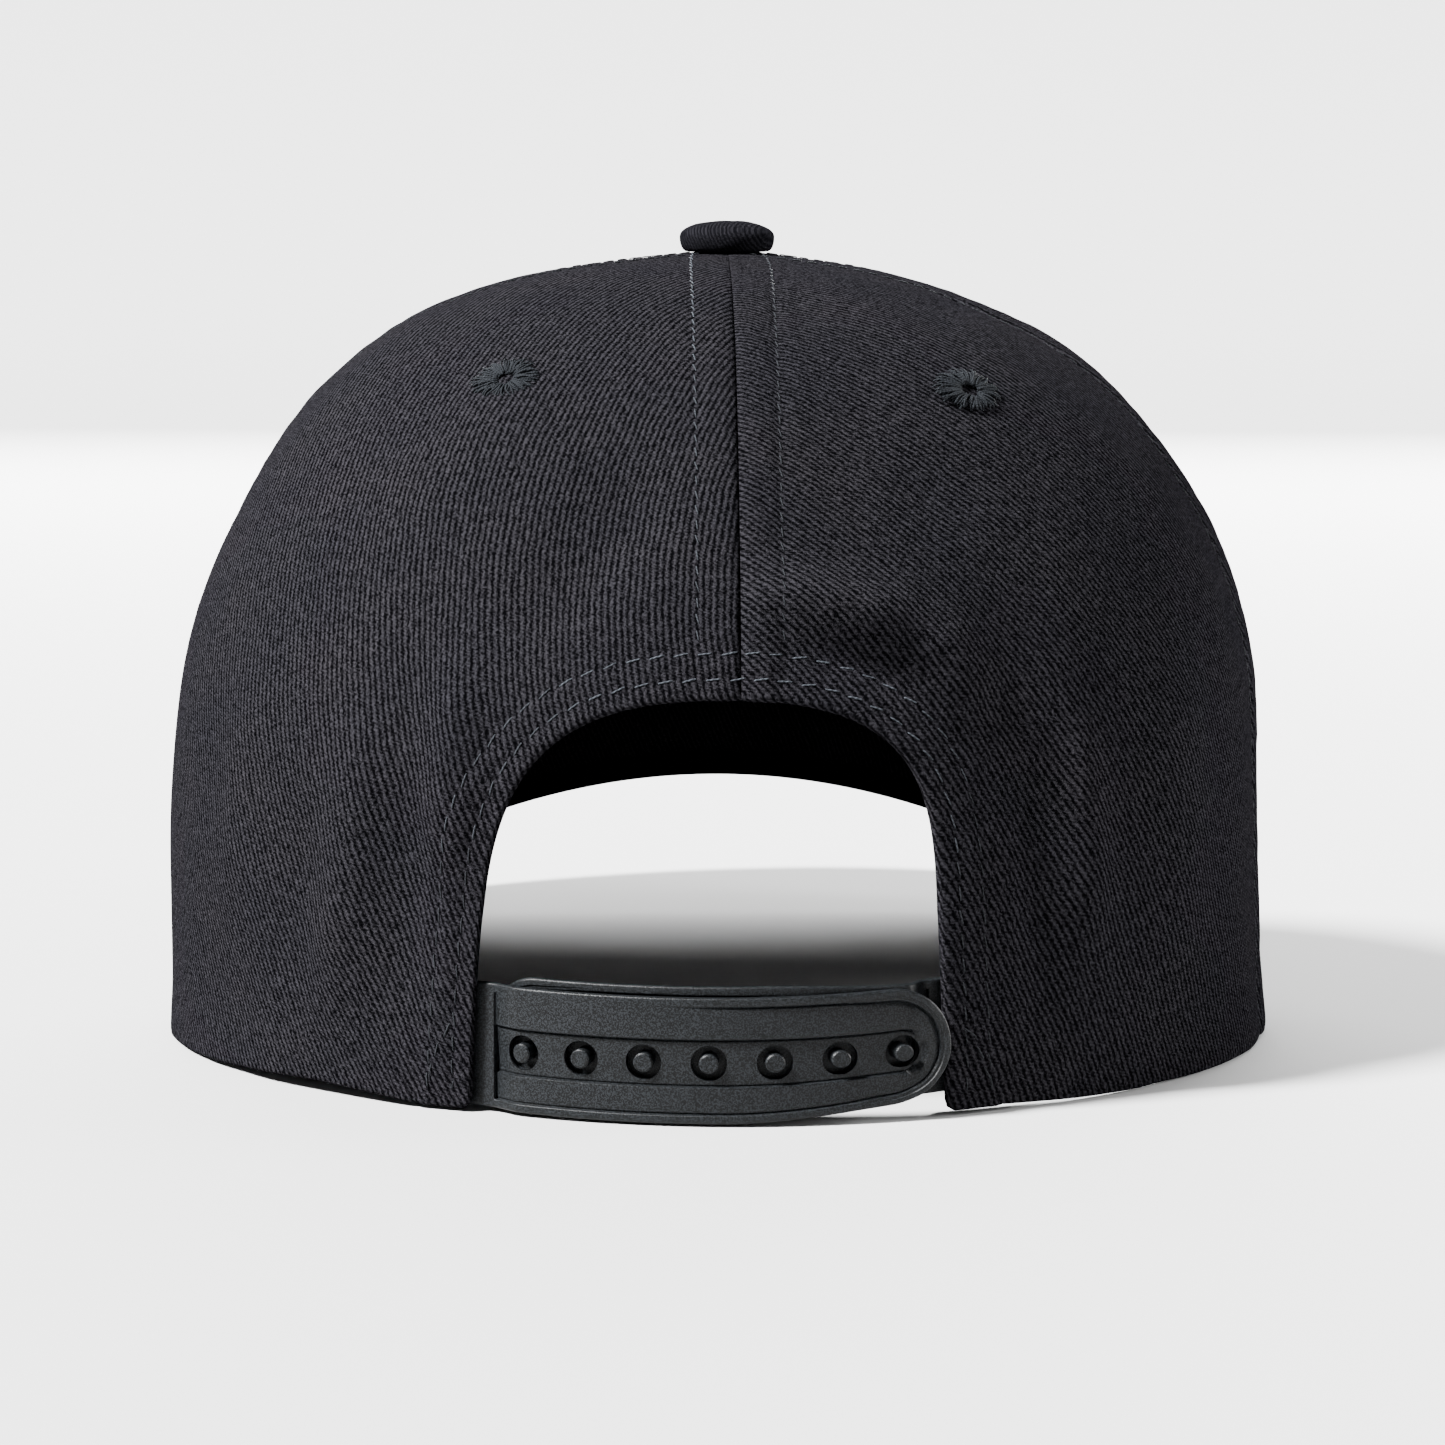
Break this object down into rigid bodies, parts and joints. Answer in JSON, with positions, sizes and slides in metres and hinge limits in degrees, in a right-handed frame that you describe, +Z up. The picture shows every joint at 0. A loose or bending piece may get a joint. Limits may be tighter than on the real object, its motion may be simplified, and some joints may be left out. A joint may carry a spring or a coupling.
{
  "type": "snapback cap",
  "caption": "Dark cotton twill snapback cap with an arched back opening, a moulded snap closure, eyelets, a covered top button and a stiff arched peak.",
  "frame": {"origin": "middle of the cap's footprint, on the surface that it rests on", "axes": "+Z up, +Y forwards along the peak, +X towards the right of someone who looks at the back of the cap"},
  "size_m": [0.1772, 0.2582, 0.1287],
  "materials": {
    "twill": "matte cotton twill",
    "eyelet_thread": "embroidery thread",
    "strap_plastic": "fine grained moulding"
  },
  "bodies": {
    "root": {"back_panel_left": "twill", "back_panel_right": "twill", "side_panel_left": "twill", "side_panel_right": "twill", "front_panel": "twill", "peak": "twill", "top_button": "twill", "eyelet_back_left": "eyelet_thread", "eyelet_back_right": "eyelet_thread", "eyelet_side_left": "eyelet_thread", "eyelet_side_right": "eyelet_thread", "strap_with_holes": "strap_plastic", "strap_with_pegs": "strap_plastic"}
  },
  "joints": []
}
